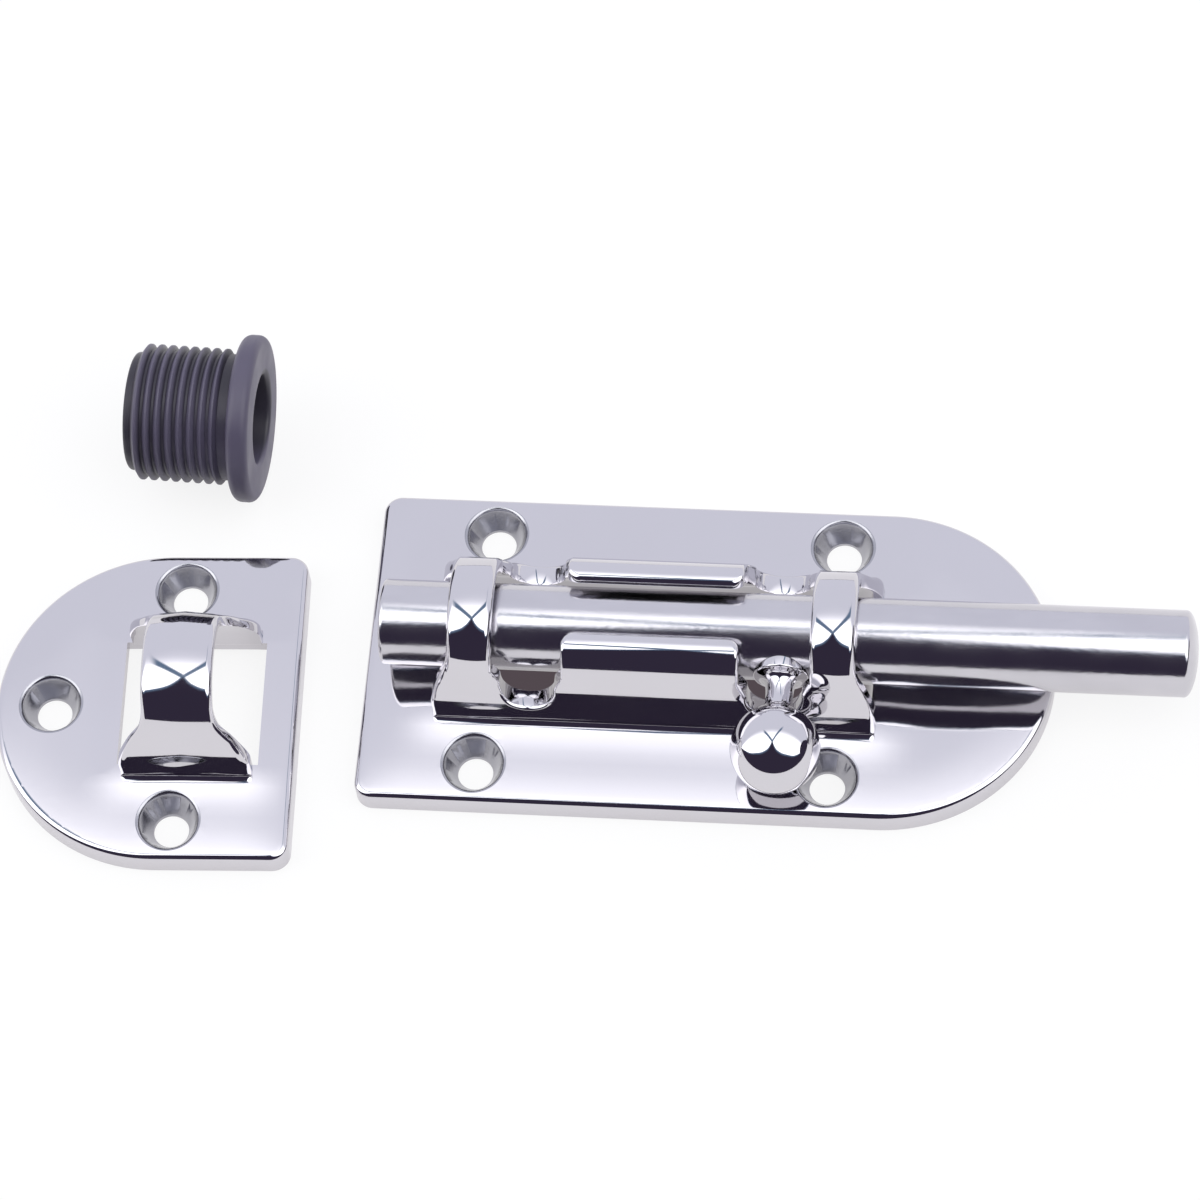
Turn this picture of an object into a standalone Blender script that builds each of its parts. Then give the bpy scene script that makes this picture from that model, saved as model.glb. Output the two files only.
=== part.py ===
"""Barrel bolt with its keeper and guide bush, laid out on one surface.

The bolt plate and the keeper are each one pressing: a D-shaped face with its
rim turned down, dished screw holes, and an arch drawn up out of the face. The
round bolt runs under the arch, and its ball knob drops into notches at either
end of the travel. The ribbed bush lines the hole that takes the bolt's tip.

Units are metres. X runs along the bolt, towards its tip. Y runs across it, with
the knob on the -Y side. Z is up from the surface that the pieces lie on.
"""

import math

import bmesh
import bpy
from mathutils import Matrix, Vector

MM = 0.001

# Pressed sheet, shared by the bolt plate and the keeper
SHEET = 1.6 * MM
RIM_HEIGHT = 3.2 * MM
PLATE_WIDTH = 37.5 * MM
RIM_ROUNDING = 1.7 * MM
CORNER_ROUNDING = 2.0 * MM

# Dished holes for countersunk screws
SCREW_SHANK_RADIUS = 1.95 * MM
SCREW_HEAD_RADIUS = 3.65 * MM
HOLE_EDGE = 0.45 * MM
DISH_WALL = 0.9 * MM
DISH_SHOULDER = 0.55 * MM
DISH_LAND = 0.3 * MM
SCREW_SPAN = 28.3 * MM

# Round bolt
BOLT_RADIUS = 4.75 * MM
BOLT_LENGTH = 89.4 * MM
BOLT_INSET = 2.2 * MM
BOLT_CHAMFER = 0.5 * MM
BOLT_TIP_DOME = 1.4 * MM
BOLT_LIFT = 0.3 * MM

# Ball knob
BALL_RADIUS = 5.0 * MM
BALL_LIFT = 0.3 * MM
BALL_GAP = 0.1 * MM
COLLAR_RADIUS = 3.05 * MM
COLLAR_STAND = 0.2 * MM
NECK_RADIUS = 1.3 * MM
NECK_DEPTH = 1.2 * MM
JOIN_STEP = 2.0
SEAT_GAP = 0.3 * MM

# Bolt plate and its drawn housing
PLATE_LENGTH = 76.0 * MM
HOUSING_CENTRE = 32.4 * MM
HOUSING_FOOT = 48.8 * MM
HOUSING_CROWN = 44.6 * MM
HOUSING_WALL = 2.4 * MM
STRAP_WIDTH = 4.9 * MM
SIDE_CLEARANCE = 1.85 * MM
TOP_CLEARANCE = 1.35 * MM
SCREW_PITCH = 38.8 * MM
NOTCH_PLAY = 1.7 * MM
NOTCH_MOUTH = 7.7 * MM
NOTCH_LIFT = 0.6 * MM
NOTCH_FLARE_HEIGHT = 2.7 * MM
FLAP_CORNER = 1.4 * MM
SLOT_WIDTH = 8.2 * MM
KNOB_FORWARD = 0.5 * MM
OPENING_RELIEF = 0.6 * MM
ROOT_ROUNDING = 0.5 * MM
FLARE_BASE = 0.8 * MM
FLARE_DROP = 2.0 * MM

# Keeper plate and its drawn bridge
KEEPER_LENGTH = 33.8 * MM
BRIDGE_CENTRE = 11.75 * MM
BRIDGE_FOOT = 14.6 * MM
BRIDGE_WAIST = 7.8 * MM
KEEPER_SCREW_ROW = 13.4 * MM
KEEPER_SCREW_STEP = 14.2 * MM

# Ribbed guide bush
BUSH_CLEARANCE = 0.25 * MM
BUSH_FLANGE_RADIUS = 9.4 * MM
BUSH_FLANGE = 2.5 * MM
FLANGE_ROUNDING = 0.9 * MM
BORE_EDGE = 0.5 * MM
RIB_RADIUS = 7.65 * MM
RIB_DEPTH = 0.55 * MM
RIB_PITCH = 1.25 * MM
RIB_CREST = 0.25 * MM
RIB_VALLEY = 0.25 * MM
RIB_COUNT = 8
BUSH_LEAD = 0.9 * MM
BUSH_LEAD_RADIUS = 6.65 * MM
BUSH_LEAD_EDGE = 0.4 * MM
BUSH_NECK = 1.2 * MM

# Where the loose pieces lie beside the bolt plate
KEEPER_X = -20.5 * MM
KEEPER_Y = -8.6 * MM
KEEPER_TURN = math.radians(2.3)
BUSH_X = -28.5 * MM
BUSH_Y = 24.8 * MM
BUSH_TURN = math.radians(-2.0)

# How far a cutting tool passes the face that it cuts
OVERSHOOT = 2.0 * MM
FOOT_MARGIN = 0.2 * MM

# Values worked out from the ones above
HALF_WIDTH = PLATE_WIDTH / 2
AXIS_HEIGHT = RIM_HEIGHT + max(BOLT_RADIUS + BOLT_LIFT, BALL_RADIUS + BALL_LIFT)
ARCH_HALF_WIDTH = BOLT_RADIUS + SIDE_CLEARANCE + HOUSING_WALL
ARCH_TOP = AXIS_HEIGHT + BOLT_RADIUS + TOP_CLEARANCE + SHEET
ARCH_RISE = ARCH_TOP - RIM_HEIGHT
NOTCH_CENTRE = HOUSING_CROWN / 2 - STRAP_WIDTH - NOTCH_MOUTH / 2
NOTCH_RADIUS = NECK_RADIUS + NOTCH_PLAY
KNOB_X = HOUSING_CENTRE + NOTCH_CENTRE + KNOB_FORWARD
BALL_REACH = ARCH_HALF_WIDTH + BALL_GAP + BALL_RADIUS
BUSH_LENGTH = BUSH_LEAD + RIB_COUNT * RIB_PITCH + BUSH_NECK + BUSH_FLANGE

# The layout is centred on the origin, seen from above
NOSE_OFFSET = KEEPER_LENGTH - HALF_WIDTH - KEEPER_SCREW_ROW
KEEPER_LEFT = KEEPER_X - NOSE_OFFSET * math.cos(KEEPER_TURN) - HALF_WIDTH
KEEPER_FRONT = KEEPER_Y - NOSE_OFFSET * math.sin(KEEPER_TURN) - HALF_WIDTH
RIM_PLACE = BUSH_LENGTH - FLANGE_ROUNDING
BUSH_BACK = BUSH_Y + RIM_PLACE * math.sin(BUSH_TURN) + BUSH_FLANGE_RADIUS * math.cos(BUSH_TURN)
LAYOUT_X = (KEEPER_LEFT + BOLT_INSET + BOLT_LENGTH) / 2
LAYOUT_Y = (KEEPER_FRONT + BUSH_BACK) / 2
LAYOUT = Vector((-LAYOUT_X, -LAYOUT_Y, 0.0))

# Facets on the round work
NOSE_STEPS = 36
CORNER_STEPS = 4
ARCH_STEPS = 40
HOLE_STEPS = 32
ROUND_STEPS = 48
BUSH_STEPS = 40
BALL_STEPS = 16
NECK_STEPS = 5
TIP_STEPS = 6
EDGE_STEPS = 3
NOTCH_STEPS = 14
SWEEP_STEPS = 12
WELD = 0.00001


def new_collection(name, owner=None):
    collection = bpy.data.collections.new(name)
    (owner or bpy.context.scene.collection).children.link(collection)
    return collection


def new_material(name, colour, roughness, metallic):
    material = bpy.data.materials.new(name)
    material.use_nodes = True
    shader = material.node_tree.nodes["Principled BSDF"]
    shader.inputs["Base Color"].default_value = (*colour, 1.0)
    shader.inputs["Roughness"].default_value = roughness
    shader.inputs["Metallic"].default_value = metallic
    return material


def arc(centre, radius, start, end, steps):
    """Points along an arc, its angles in degrees, both ends included."""
    points = []
    for step in range(steps + 1):
        angle = math.radians(start + (end - start) * step / steps)
        points.append((centre[0] + radius * math.cos(angle), centre[1] + radius * math.sin(angle)))
    return points


def mirrored(points):
    """The same outline flipped left to right, still running the same way round."""
    return [(-x, y) for x, y in reversed(points)]


def outline_solid(name, outline, depth, collection):
    """A flat outline made into a slab, centred on its own XY plane."""
    curve = bpy.data.curves.new(name + "_outline", "CURVE")
    curve.dimensions = "2D"
    curve.fill_mode = "BOTH"
    curve.extrude = depth / 2
    spline = curve.splines.new("POLY")
    spline.points.add(len(outline) - 1)
    for point, (x, y) in zip(spline.points, outline):
        point.co = (x, y, 0.0, 1.0)
    spline.use_cyclic_u = True
    guide = bpy.data.objects.new(name + "_guide", curve)
    bpy.context.scene.collection.objects.link(guide)
    evaluated = guide.evaluated_get(bpy.context.evaluated_depsgraph_get())
    mesh = bpy.data.meshes.new_from_object(evaluated)
    mesh.name = name
    bm = bmesh.new()
    bm.from_mesh(mesh)
    bmesh.ops.remove_doubles(bm, verts=bm.verts, dist=WELD)
    bmesh.ops.dissolve_limit(bm, angle_limit=math.radians(0.5), verts=bm.verts, edges=bm.edges)
    bmesh.ops.recalc_face_normals(bm, faces=bm.faces)
    bm.to_mesh(mesh)
    bm.free()
    bpy.data.objects.remove(guide)
    bpy.data.curves.remove(curve)
    solid = bpy.data.objects.new(name, mesh)
    collection.objects.link(solid)
    return solid


def turned_piece(name, profile, steps, collection):
    """A profile of (radius, height) points turned about its own Z axis."""
    mesh = bpy.data.meshes.new(name)
    points = [(radius, 0.0, height) for radius, height in profile]
    edges = [(index, index + 1) for index in range(len(points) - 1)]
    if profile[0][0] > 0.0:
        edges.append((len(points) - 1, 0))
    mesh.from_pydata(points, edges, [])
    piece = bpy.data.objects.new(name, mesh)
    collection.objects.link(piece)
    screw = piece.modifiers.new("turn", "SCREW")
    screw.axis = "Z"
    screw.steps = steps
    screw.render_steps = steps
    screw.use_merge_vertices = True
    screw.merge_threshold = WELD
    screw.use_smooth_shade = True
    return piece


def as_tool(tool):
    tool.hide_render = True
    tool.display_type = "WIRE"
    return tool


def boolean(target, tool, operation):
    modifier = target.modifiers.new(operation.lower() + "_" + tool.name, "BOOLEAN")
    modifier.operation = operation
    modifier.solver = "EXACT"
    modifier.object = tool


def boolean_group(target, group, operation):
    """One cut or union with every tool of a collection, which may overlap each other."""
    modifier = target.modifiers.new(operation.lower() + "_" + group.name, "BOOLEAN")
    modifier.operation = operation
    modifier.solver = "EXACT"
    modifier.operand_type = "COLLECTION"
    modifier.collection = group
    modifier.use_self = True


def smooth_round_faces(piece, angle):
    piece.data.shade_smooth()
    piece.data.set_sharp_from_angle(angle=math.radians(angle))


def d_outline(length, inset):
    """The D shape of a plate: a straight end at x = 0 and a round nose, set in all round."""
    half = HALF_WIDTH - inset
    corner = max(CORNER_ROUNDING - inset, 0.3 * MM)
    nose = (length - HALF_WIDTH, 0.0)
    points = arc(nose, half, -90, 90, NOSE_STEPS)
    points += arc((inset + corner, half - corner), corner, 90, 180, CORNER_STEPS)
    points += arc((inset + corner, corner - half), corner, 180, 270, CORNER_STEPS)
    return points


def arch_section(half_width, rise, floor, root):
    """Half-ellipse across an arch, its sides carried down to a floor, its foot rounded out."""
    points = []
    for step in range(ARCH_STEPS + 1):
        angle = math.pi * step / ARCH_STEPS
        points.append((half_width * math.cos(angle), RIM_HEIGHT + rise * math.sin(angle)))
    if not root:
        return points + [(-half_width, floor), (half_width, floor)]
    above = [point for point in points if point[1] > RIM_HEIGHT + root]
    right = arc((half_width + root, RIM_HEIGHT + root), root, 270, 180, CORNER_STEPS)
    foot = half_width + root
    return right + above + mirrored(right) + [(-foot, floor), (foot, floor)]


def blend(start, end, share):
    """A smooth step from start to end as share goes from 0 to 1."""
    return end + (start - end) * (1 + math.cos(math.pi * share)) / 2


def end_trim_outline(foot, crown):
    """Waste cut from one end of an arch, seen from the side, down to a flared foot."""
    low = RIM_HEIGHT + FLARE_BASE
    high = ARCH_TOP - FLARE_DROP
    beyond = foot + OVERSHOOT
    points = [(beyond, low)]
    for step in range(SWEEP_STEPS + 1):
        share = step / SWEEP_STEPS
        points.append((blend(foot + FOOT_MARGIN, crown, share), low + (high - low) * share))
    return points + [(crown, ARCH_TOP + OVERSHOOT), (beyond, ARCH_TOP + OVERSHOOT)]


def notch_outline():
    """One knob notch seen from the side: round below, flared above, open at the top."""
    mouth = NOTCH_MOUTH / 2
    flare = AXIS_HEIGHT + NOTCH_FLARE_HEIGHT
    top = ARCH_TOP + OVERSHOOT
    points = arc((0.0, AXIS_HEIGHT + NOTCH_LIFT), NOTCH_RADIUS, 175, 365, NOTCH_STEPS)
    return points + [(mouth, flare), (mouth, top), (-mouth, top), (-mouth, flare)]


def flap_edge():
    """Height and slope of the arch's outside where a guard flap ends."""
    half = SLOT_WIDTH / 2
    reach = half / ARCH_HALF_WIDTH
    rise = ARCH_RISE * math.sqrt(1 - reach * reach)
    slope = math.atan2(half / ARCH_HALF_WIDTH ** 2, rise / ARCH_RISE ** 2)
    return RIM_HEIGHT + rise, slope


def slot_outline():
    """The open top between the flaps, cut square to the sheet at both edges."""
    height, slope = flap_edge()
    half = SLOT_WIDTH / 2
    down = height - HOUSING_WALL
    up = ARCH_TOP + OVERSHOOT
    narrow = half - (height - down) * math.tan(slope)
    wide = half + (up - height) * math.tan(slope)
    return [(-narrow, down), (narrow, down), (wide, up), (-wide, up)]


def flap_corner_outline():
    """What is cut off a flap's square corner to round it, the corner itself at the origin."""
    points = arc((-FLAP_CORNER, -FLAP_CORNER), FLAP_CORNER, 0, 90, CORNER_STEPS)
    return points + [(-FLAP_CORNER, OVERSHOOT), (OVERSHOOT, OVERSHOOT), (OVERSHOOT, -FLAP_CORNER)]


def round_top_edge(plate, height, radius):
    """Rounds the rim where the face turns down."""
    bm = bmesh.new()
    bm.from_mesh(plate.data)
    rim = [edge for edge in bm.edges
           if all(abs(vert.co.z - height) < WELD for vert in edge.verts)]
    bmesh.ops.bevel(bm, geom=rim, offset=radius, segments=5, profile=0.5, affect="EDGES")
    bm.to_mesh(plate.data)
    bm.free()


def pressed_plate(name, length, screws, arch_centre, foot, crown, wall, collection, tools):
    """A D-shaped pressing: face, turned-down rim, dished holes and one drawn arch."""
    plate = outline_solid(name, d_outline(length, 0.0), RIM_HEIGHT, collection)
    plate.data.transform(lift(RIM_HEIGHT / 2))
    round_top_edge(plate, RIM_HEIGHT, RIM_ROUNDING)
    hollow_top = RIM_HEIGHT - SHEET
    hollow_depth = hollow_top + OVERSHOOT
    hollow = as_tool(outline_solid(name + "_hollow", d_outline(length, SHEET), hollow_depth, tools))
    hollow.data.transform(lift(hollow_top - hollow_depth / 2))
    boolean(plate, hollow, "DIFFERENCE")

    added = new_collection(name + "_added", tools)
    cut = new_collection(name + "_cut", tools)
    for number, (x, y) in enumerate(screws, 1):
        dish = as_tool(turned_piece(f"{name}_dish_{number}", dish_profile(), HOLE_STEPS, added))
        dish.location = (x, y, 0.0)
        hole = as_tool(turned_piece(f"{name}_hole_{number}", hole_profile(), HOLE_STEPS, cut))
        hole.location = (x, y, 0.0)

    floor = RIM_HEIGHT - SHEET / 2
    outer_section = arch_section(ARCH_HALF_WIDTH, ARCH_RISE, floor, ROOT_ROUNDING)
    outer = as_tool(outline_solid(name + "_arch", outer_section, foot, added))
    inner_section = arch_section(ARCH_HALF_WIDTH - wall, ARCH_RISE - SHEET, -OVERSHOOT, 0.0)
    inner_length = foot + 2 * OPENING_RELIEF
    inner = as_tool(outline_solid(name + "_arch_bore", inner_section, inner_length, cut))
    for section in (outer, inner):
        section.rotation_euler = (math.radians(90), 0.0, math.radians(90))
        section.location = (arch_centre, 0.0, 0.0)

    for side in (-1, 1):
        trim_outline = end_trim_outline(foot / 2, crown / 2)
        if side < 0:
            trim_outline = mirrored(trim_outline)
        side_name = "front" if side > 0 else "back"
        trim_depth = 2 * (ARCH_HALF_WIDTH + OVERSHOOT)
        trim = as_tool(outline_solid(f"{name}_trim_{side_name}", trim_outline, trim_depth, cut))
        trim.rotation_euler = (math.radians(90), 0.0, 0.0)
        trim.location = (arch_centre, 0.0, 0.0)

    boolean_group(plate, added, "UNION")
    boolean_group(plate, cut, "DIFFERENCE")
    return plate, cut


def lift(height):
    """A matrix that raises a mesh."""
    return Matrix.Translation((0.0, 0.0, height))


def dish_profile():
    """The underside of a dished hole, top to bottom."""
    top = RIM_HEIGHT - SHEET / 2
    return [(0.0, top), (SCREW_HEAD_RADIUS + DISH_SHOULDER, top),
            (SCREW_SHANK_RADIUS + DISH_WALL, 0.0), (0.0, 0.0)]


def hole_profile():
    """The countersink with its rounded edge, and the hole through it, top to bottom."""
    above = RIM_HEIGHT + OVERSHOOT
    edge = arc((SCREW_HEAD_RADIUS, RIM_HEIGHT - HOLE_EDGE), HOLE_EDGE, 100, 180, EDGE_STEPS)
    return [(0.0, above), (edge[0][0], above)] + edge + [
        (SCREW_SHANK_RADIUS, DISH_LAND), (SCREW_SHANK_RADIUS, -OVERSHOOT), (0.0, -OVERSHOOT)]


def make_base_plate(collection, tools, material):
    screws = [(HOUSING_CENTRE + along * SCREW_PITCH / 2, across * SCREW_SPAN / 2)
              for along in (-1, 1) for across in (-1, 1)]
    plate, cut = pressed_plate("base_plate", PLATE_LENGTH, screws, HOUSING_CENTRE, HOUSING_FOOT,
                               HOUSING_CROWN, HOUSING_WALL, collection, tools)
    flap_end = NOTCH_CENTRE - NOTCH_MOUTH / 2
    height, slope = flap_edge()
    for side, side_name in ((-1, "drawn"), (1, "thrown")):
        notch_depth = 2 * (ARCH_HALF_WIDTH + OVERSHOOT)
        notch = as_tool(outline_solid(f"notch_{side_name}", notch_outline(), notch_depth, cut))
        notch.rotation_euler = (math.radians(90), 0.0, 0.0)
        notch.location = (HOUSING_CENTRE + side * NOTCH_CENTRE, 0.0, 0.0)
        for across, turn in ((-1, 0.0), (1, math.pi)):
            outline = flap_corner_outline()
            if side * across > 0:
                outline = mirrored(outline)
            name = f"flap_corner_{side_name}_{'front' if across < 0 else 'rear'}"
            corner = as_tool(outline_solid(name, outline, 2 * HOUSING_WALL, cut))
            corner.rotation_euler = (slope, 0.0, turn)
            corner.location = (HOUSING_CENTRE + side * flap_end, across * SLOT_WIDTH / 2, height)
    slot = as_tool(outline_solid("top_slot", slot_outline(), 2 * NOTCH_CENTRE, cut))
    slot.rotation_euler = (math.radians(90), 0.0, math.radians(90))
    slot.location = (HOUSING_CENTRE, 0.0, 0.0)
    plate.data.materials.append(material)
    smooth_round_faces(plate, 35)
    return plate


def make_keeper_plate(collection, tools, material):
    screws = [(KEEPER_SCREW_ROW, -SCREW_SPAN / 2), (KEEPER_SCREW_ROW, SCREW_SPAN / 2),
              (KEEPER_SCREW_ROW + KEEPER_SCREW_STEP, 0.0)]
    keeper, _ = pressed_plate("keeper_plate", KEEPER_LENGTH, screws, BRIDGE_CENTRE, BRIDGE_FOOT,
                              BRIDGE_WAIST, SHEET, collection, tools)
    keeper.data.materials.append(material)
    smooth_round_faces(keeper, 35)
    return keeper


def make_bolt_rod(collection, material):
    """The round bolt, its tip slightly domed."""
    profile = []
    for step in range(TIP_STEPS + 1):
        angle = math.radians(90) * step / TIP_STEPS
        drop = BOLT_TIP_DOME * (1 - math.cos(angle))
        profile.append((BOLT_RADIUS * math.sin(angle), BOLT_LENGTH - drop))
    profile += [(BOLT_RADIUS, BOLT_CHAMFER), (BOLT_RADIUS - BOLT_CHAMFER, 0.0), (0.0, 0.0)]
    rod = turned_piece("bolt_rod", profile, ROUND_STEPS, collection)
    rod.rotation_euler = (0.0, math.radians(90), 0.0)
    rod.location = (BOLT_INSET, 0.0, AXIS_HEIGHT)
    rod.data.materials.append(material)
    return rod


def knob_profile():
    """The knob from the far side of its ball, in at the neck and out again to its collar."""
    collar_top = BOLT_RADIUS + COLLAR_STAND
    waist = ARCH_HALF_WIDTH - NECK_DEPTH
    join = math.degrees(math.asin(NECK_RADIUS / BALL_RADIUS)) + JOIN_STEP
    points = arc((0.0, BALL_REACH), BALL_RADIUS, 90, join - 90, BALL_STEPS)
    points[0] = (0.0, BALL_REACH + BALL_RADIUS)
    for step in range(NECK_STEPS + 1):
        angle = math.radians(90) * step / NECK_STEPS
        points.append((COLLAR_RADIUS - (COLLAR_RADIUS - NECK_RADIUS) * math.cos(angle),
                       waist - (waist - collar_top) * math.sin(angle)))
    return points + [(COLLAR_RADIUS, BOLT_RADIUS / 2), (0.0, BOLT_RADIUS / 2)]


def make_knob(collection, tools, material):
    """The turned ball knob, with a saddle where its collar sits on the bolt."""
    knob = turned_piece("knob", knob_profile(), ROUND_STEPS, collection)
    knob.rotation_euler = (math.radians(90), 0.0, 0.0)
    knob.location = (KNOB_X, 0.0, AXIS_HEIGHT)
    bpy.ops.mesh.primitive_cylinder_add(vertices=ROUND_STEPS, radius=BOLT_RADIUS + SEAT_GAP,
                                        depth=2 * (COLLAR_RADIUS + OVERSHOOT),
                                        location=(KNOB_X, 0.0, AXIS_HEIGHT),
                                        rotation=(0.0, math.radians(90), 0.0))
    saddle = as_tool(bpy.context.object)
    saddle.name = "knob_saddle"
    for owner in list(saddle.users_collection):
        owner.objects.unlink(saddle)
    tools.objects.link(saddle)
    boolean(knob, saddle, "DIFFERENCE")
    knob.data.materials.append(material)
    return knob


def bush_profile():
    """The bush from the flange's face down the outside, then back up the bore."""
    bore = BOLT_RADIUS + BUSH_CLEARANCE
    top = BUSH_LENGTH
    under = top - BUSH_FLANGE
    rim = BUSH_FLANGE_RADIUS - FLANGE_ROUNDING
    root = RIB_RADIUS - RIB_DEPTH
    points = [(bore + BORE_EDGE, top)]
    points += arc((rim, top - FLANGE_ROUNDING), FLANGE_ROUNDING, 90, 0, EDGE_STEPS)
    points += arc((rim, under + FLANGE_ROUNDING), FLANGE_ROUNDING, 0, -90, EDGE_STEPS)
    points += [(root, under)]
    for rib in range(RIB_COUNT - 1, -1, -1):
        middle = BUSH_LEAD + RIB_PITCH * (rib + 0.5)
        flank = (RIB_PITCH - RIB_VALLEY) / 2
        points += [(root, middle + flank), (RIB_RADIUS, middle + RIB_CREST / 2),
                   (RIB_RADIUS, middle - RIB_CREST / 2), (root, middle - flank)]
    points += [(BUSH_LEAD_RADIUS, BUSH_LEAD), (BUSH_LEAD_RADIUS, BUSH_LEAD_EDGE),
               (BUSH_LEAD_RADIUS - BUSH_LEAD_EDGE, 0.0)]
    return points + [(bore + BORE_EDGE / 2, 0.0), (bore, BORE_EDGE / 2), (bore, top - BORE_EDGE)]


def make_guide_bush(collection, material):
    """The bush on its side, its axis level, its flange on the surface."""
    bush = turned_piece("guide_bush", bush_profile(), BUSH_STEPS, collection)
    bush.rotation_euler = (0.0, math.radians(90), BUSH_TURN)
    bush.location = (BUSH_X, BUSH_Y, BUSH_FLANGE_RADIUS)
    bush.data.materials.append(material)
    return bush


def main():
    for item in list(bpy.data.objects):
        bpy.data.objects.remove(item, do_unlink=True)
    parts = new_collection("barrel_bolt")
    tools = new_collection("cutters")
    chrome = new_material("polished_chrome", (0.82, 0.81, 0.84), 0.06, 1.0)
    satin = new_material("satin_chrome", (0.78, 0.77, 0.78), 0.16, 1.0)
    plastic = new_material("dark_plastic", (0.085, 0.075, 0.115), 0.45, 0.0)

    base = make_base_plate(parts, tools, chrome)
    rod = make_bolt_rod(parts, satin)
    knob = make_knob(parts, tools, chrome)
    bush = make_guide_bush(parts, plastic)
    keeper = make_keeper_plate(parts, tools, chrome)

    # Everything of the bolt plate hangs on one empty, and the keeper's pieces on another
    bolt_frame = bpy.data.objects.new("bolt_frame", None)
    keeper_frame = bpy.data.objects.new("keeper_frame", None)
    for frame in (bolt_frame, keeper_frame):
        parts.objects.link(frame)
    bolt_frame.location = LAYOUT
    turn = math.pi + KEEPER_TURN
    row = Vector((KEEPER_SCREW_ROW * math.cos(turn), KEEPER_SCREW_ROW * math.sin(turn), 0.0))
    keeper_frame.location = LAYOUT + Vector((KEEPER_X, KEEPER_Y, 0.0)) - row
    keeper_frame.rotation_euler = (0.0, 0.0, turn)
    for piece in (base, rod, knob, bush):
        piece.parent = bolt_frame
    keeper.parent = keeper_frame
    for tool in tools.all_objects:
        tool.parent = keeper_frame if tool.name.startswith("keeper_plate") else bolt_frame


main()
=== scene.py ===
# %% [markdown]
# # A barrel bolt, dressed for its picture
# The solids of the bolt are already made, and they arrive here as a fixed frame.
# This file builds the pieces that are seen: finer edges, softer curves and real finishes.
# A cell of words comes first each time, and then the short step that it talks about.

# %% Load the frame
import math
import bmesh
import bpy
from mathutils import Matrix, Vector


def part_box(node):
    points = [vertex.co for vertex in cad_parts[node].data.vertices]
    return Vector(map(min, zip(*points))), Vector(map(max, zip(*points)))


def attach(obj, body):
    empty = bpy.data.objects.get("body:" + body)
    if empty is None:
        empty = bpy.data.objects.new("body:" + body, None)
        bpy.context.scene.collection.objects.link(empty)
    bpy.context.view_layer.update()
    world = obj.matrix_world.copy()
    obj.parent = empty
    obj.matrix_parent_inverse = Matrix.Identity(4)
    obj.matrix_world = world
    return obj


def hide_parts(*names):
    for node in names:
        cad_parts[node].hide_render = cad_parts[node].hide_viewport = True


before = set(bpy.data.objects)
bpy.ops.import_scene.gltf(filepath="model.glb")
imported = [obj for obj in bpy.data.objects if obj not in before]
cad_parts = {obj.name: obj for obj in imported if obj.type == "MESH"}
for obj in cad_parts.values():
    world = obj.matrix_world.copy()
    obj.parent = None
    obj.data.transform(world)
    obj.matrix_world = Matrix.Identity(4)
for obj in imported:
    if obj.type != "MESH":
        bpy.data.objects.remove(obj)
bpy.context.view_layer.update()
MM = 0.001

# %% [markdown]
# ## The sizes of the pressing
# The frame gives every node's box, but not how thick the sheet is or how its edges turn.
# Those few sizes are named once here, and every piece below is worked out from them.

# %% Name the sizes
SHEET = 1.6 * MM
RIM_HEIGHT = 3.2 * MM
HALF_WIDTH = 18.73 * MM
AXIS_HEIGHT = 8.5 * MM
ARCH_HALF_WIDTH = 9.0 * MM
ARCH_RISE = 12.5 * MM
FACE_RISE = 0.3 * MM
HOUSING_MIDDLE = 32.4 * MM
ARCH_FOOT = RIM_HEIGHT + FACE_RISE
ARCH_TOP = ARCH_FOOT + ARCH_RISE
plate_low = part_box("base_plate")[0]
rod_low, rod_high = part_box("bolt_rod")
knob_low, knob_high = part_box("knob")
HOUSING_X = plate_low.x + HOUSING_MIDDLE
ROD_Y = (rod_low.y + rod_high.y) / 2
KNOB_X = (knob_low.x + knob_high.x) / 2
print(f"the housing is centred on x = {HOUSING_X / MM:.2f} mm, the bolt on y = {ROD_Y / MM:.2f} mm")

# %% [markdown]
# ## Helpers for work in edit mode
# Most pieces start as one point that is extruded along an outline, as a pencil follows a template.
# An operator acts on all that is selected, so each helper clears the selection before it starts.


# %% Select, trace and place
SHARP_ANGLE = 38


def clear_selection():
    """Object mode, with nothing selected."""
    if bpy.context.object and bpy.context.object.mode != "OBJECT":
        bpy.ops.object.mode_set(mode="OBJECT")
    bpy.ops.object.select_all(action="DESELECT")


def take_up(piece):
    """Makes a piece the only one selected, and the active one."""
    clear_selection()
    piece.select_set(True)
    bpy.context.view_layer.objects.active = piece


def pick(piece, kind, test):
    """In edit mode, selects just the verts, edges or faces that pass a test."""
    bpy.ops.mesh.select_mode(type={"verts": "VERT", "edges": "EDGE", "faces": "FACE"}[kind])
    bpy.ops.mesh.select_all(action="DESELECT")
    bm = bmesh.from_edit_mesh(piece.data)
    for item in [item for item in getattr(bm, kind) if test(item)]:
        item.select_set(True)
    bm.select_flush_mode()
    bmesh.update_edit_mesh(piece.data)


def traced(name, points):
    """One vertex, extruded from point to point. The piece is left in edit mode."""
    clear_selection()
    bpy.ops.mesh.primitive_plane_add(size=MM)
    piece = bpy.context.object
    piece.name = piece.data.name = name
    bpy.ops.object.mode_set(mode="EDIT")
    bpy.ops.mesh.select_mode(type="VERT")
    bpy.ops.mesh.select_all(action="SELECT")
    bpy.ops.mesh.merge(type="CENTER")
    bpy.ops.transform.translate(value=points[0])
    for start, end in zip(points, points[1:]):
        bpy.ops.mesh.extrude_region_move(TRANSFORM_OT_translate={"value": Vector(end) - Vector(start)})
    return piece


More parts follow.
